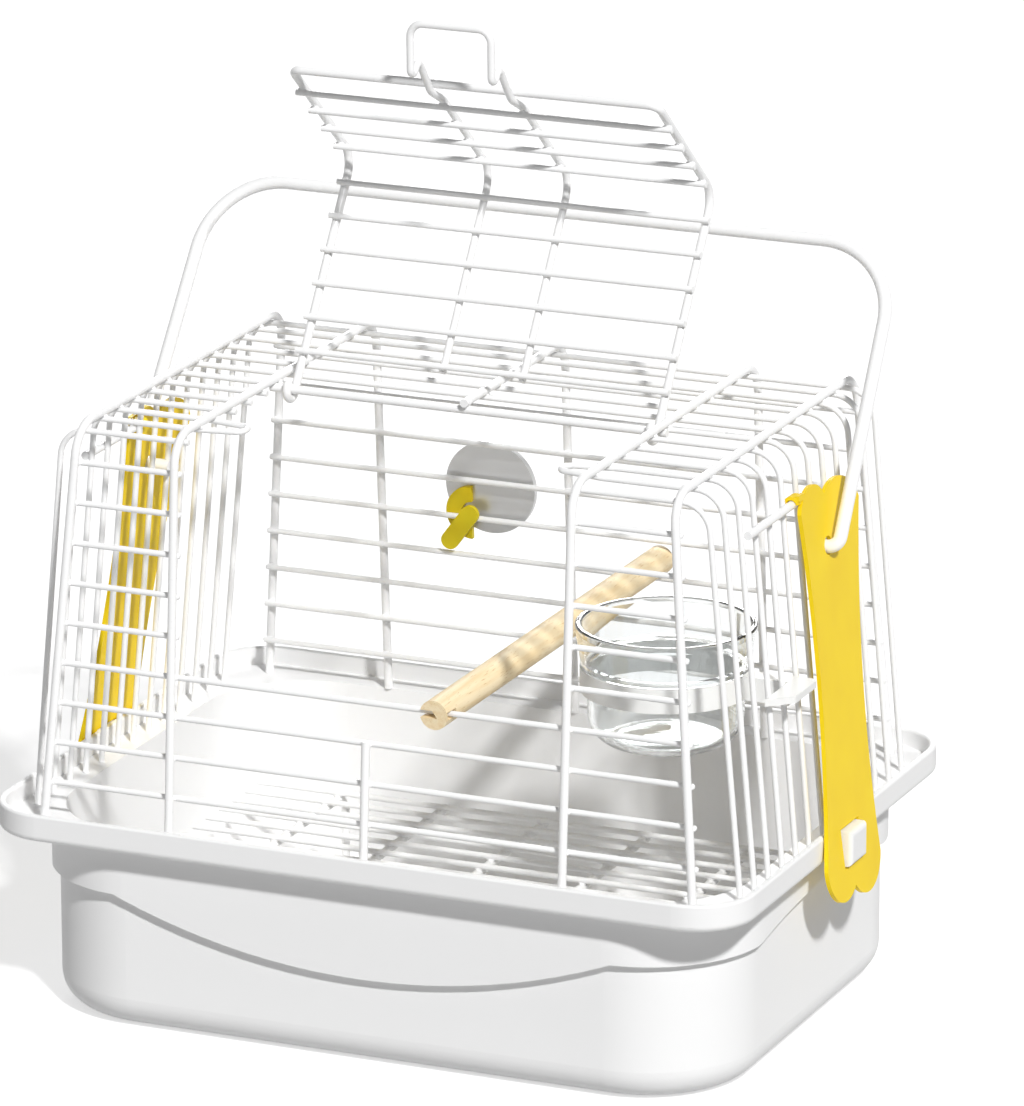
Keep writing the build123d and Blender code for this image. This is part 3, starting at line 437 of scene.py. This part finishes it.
# ---------------------------------------------------------------- camera, floor and light
def place_camera():
    """Camera at the studio's viewing angle."""
    turn, tilt, roll = (radians(angle) for angle in (CAMERA_TURN, CAMERA_TILT, CAMERA_ROLL))
    forward = Vector((-sin(turn) * cos(tilt), cos(turn) * cos(tilt), -sin(tilt)))
    right = Vector((cos(turn), sin(turn), 0))
    up = right.cross(forward)
    rolled_right = right * cos(roll) + up * sin(roll)
    rolled_up = up * cos(roll) - right * sin(roll)
    camera = bpy.data.objects.new("camera", bpy.data.cameras.new("camera"))
    camera.data.sensor_fit = "HORIZONTAL"
    camera.data.sensor_width = SENSOR_WIDTH
    camera.data.lens = CAMERA_LENS
    camera.data.clip_end = CAMERA_REACH
    camera.matrix_world = Matrix((rolled_right, rolled_up, -forward)).transposed().to_4x4()
    camera.location = CAMERA_SPOT
    bpy.context.scene.collection.objects.link(camera)
    bpy.context.scene.camera = camera


def seen_directly(tree):
    """Factor of 1 for what the eye sees, also in gloss and through clear plastic."""
    path = add_node(tree, "ShaderNodeLightPath").outputs
    seen = add_node(
        tree, "ShaderNodeMath", {"operation": "MAXIMUM"},
        _0=path["Is Camera Ray"], _1=path["Is Transmission Ray"],
    )
    return add_node(
        tree, "ShaderNodeMath", {"operation": "MAXIMUM"}, _0=seen, _1=path["Is Glossy Ray"]
    )


def make_floor():
    """Plain pale floor that looks white and keeps the carrier's soft shadow."""
    mesh = bpy.data.meshes.new("floor")
    corners = [(-1, -1), (1, -1), (1, 1), (-1, 1)]
    mesh.from_pydata([(x * FLOOR_REACH, y * FLOOR_REACH, 0) for x, y in corners], [], [(0, 1, 2, 3)])
    floor = bpy.data.objects.new("floor", mesh)
    bpy.context.scene.collection.objects.link(floor)
    material, tree, _ = new_material("pale_studio_floor")
    paper = add_node(
        tree, "ShaderNodeBsdfPrincipled", Base_Color=linear(FLOOR_GREY), Roughness=0.95,
        Specular_IOR_Level=0.0,
    )
    strength = add_node(
        tree, "ShaderNodeMapRange", Value=seen_directly(tree), To_Min=0.0, To_Max=FLOOR_LIFT
    )
    lift = add_node(tree, "ShaderNodeEmission", Strength=strength)
    lifted = add_node(tree, "ShaderNodeAddShader", _0=paper, _1=lift)
    add_node(tree, "ShaderNodeOutputMaterial", Surface=lifted)
    mesh.materials.append(material)


def studio_sun(name, towards, strength, softness):
    """Even light from one side."""
    lamp = bpy.data.objects.new(name, bpy.data.lights.new(name, "SUN"))
    lamp.data.angle = radians(softness)
    lamp.data.energy = strength
    lamp.rotation_euler = Vector(towards).to_track_quat("Z", "Y").to_euler()
    bpy.context.scene.collection.objects.link(lamp)


def light_studio():
    """A key light over the front right corner and a weak low one behind, in a pale surround."""
    studio_sun("key_light", KEY_FROM, KEY_STRENGTH, KEY_SOFTNESS)
    studio_sun("fill_light", FILL_FROM, FILL_STRENGTH, FILL_SOFTNESS)
    world = bpy.data.worlds.new("studio")
    bpy.context.scene.world = world
    world.use_nodes = True
    tree = world.node_tree
    tree.nodes.clear()
    strength = add_node(
        tree, "ShaderNodeMapRange", Value=seen_directly(tree), To_Min=SURROUND_LIGHT, To_Max=1.0
    )
    glow = add_node(tree, "ShaderNodeBackground", Color=(1, 1, 1, 1), Strength=strength)
    add_node(tree, "ShaderNodeOutputWorld", Surface=glow)
    bpy.context.scene.view_settings.view_transform = "Standard"


# ---------------------------------------------------------------- build
place_camera()
make_floor()
light_studio()

wire_finish = powder_coat()
holder_finish = moulded_abs("white_moulded_abs", HOLDER_WHITE, HOLDER_WHITE)
clip_finish = moulded_abs("yellow_moulded_abs", CLIP_YELLOW, CLIP_YELLOW_WORN)
special_finishes = {
    "tub": moulded_polypropylene(),
    "bowl": clear_polystyrene(),
    "bowl_holder": holder_finish,
    "bowl_holder_plate": holder_finish,
    "left_clip": clip_finish,
    "right_clip": clip_finish,
    "mirror_clip": moulded_abs("yellow_spring_clip_abs", MIRROR_CLIP_YELLOW, CLIP_YELLOW_WORN),
    "mirror": small_mirror(),
    "perch": turned_dowel(),
}
make_wall_beads()
make_roof_beads()
make_grate_beads()
make_door_beads()
for node_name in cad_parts:
    give_material(node_name, special_finishes.get(node_name, wire_finish))
